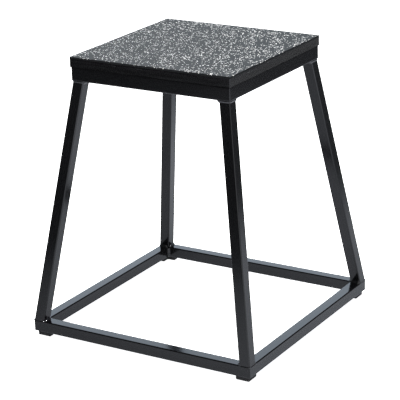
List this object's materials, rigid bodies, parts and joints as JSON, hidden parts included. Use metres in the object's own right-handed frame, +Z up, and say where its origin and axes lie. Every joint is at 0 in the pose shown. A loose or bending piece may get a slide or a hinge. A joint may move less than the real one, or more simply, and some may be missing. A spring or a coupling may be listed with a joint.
{
  "type": "plyo box",
  "caption": "Free-standing plyometric jump box: splayed square-tube steel frame, square plywood deck with a flecked rubber mat, rubber corner feet.",
  "frame": {"origin": "on the floor under the centre of the deck", "axes": "+Z up, -Y towards the front, +X to the right; the box looks the same from all four sides"},
  "size_m": [0.534, 0.534, 0.61],
  "materials": {
    "powder_coat": "black semi-gloss powder coat",
    "coated_weld": "rippled weld bead under the same powder coat",
    "painted_plywood": "black satin paint over plywood, with faint grain",
    "flecked_rubber": "matte dark grey rubber with light grey flecks",
    "foot_rubber": "matte black moulded rubber",
    "zinc_steel": "zinc-plated steel"
  },
  "bodies": {
    "root": {"deck_mat": "flecked_rubber", "deck_board": "painted_plywood", "top_rail_front": "powder_coat", "top_rail_right": "powder_coat", "top_rail_rear": "powder_coat", "top_rail_left": "powder_coat", "leg_front_right": "powder_coat", "leg_rear_right": "powder_coat", "leg_rear_left": "powder_coat", "leg_front_left": "powder_coat", "base_rail_front": "powder_coat", "base_rail_right": "powder_coat", "base_rail_rear": "powder_coat", "base_rail_left": "powder_coat", "foot_front_right": "foot_rubber", "foot_rear_right": "foot_rubber", "foot_rear_left": "foot_rubber", "foot_front_left": "foot_rubber", "deck_screws": "zinc_steel", "deck_washers": "zinc_steel", "foot_screws": "zinc_steel", "top_corner_welds": "coated_weld", "base_corner_welds": "coated_weld", "leg_top_welds": "coated_weld", "leg_base_welds": "coated_weld"}
  },
  "joints": []
}
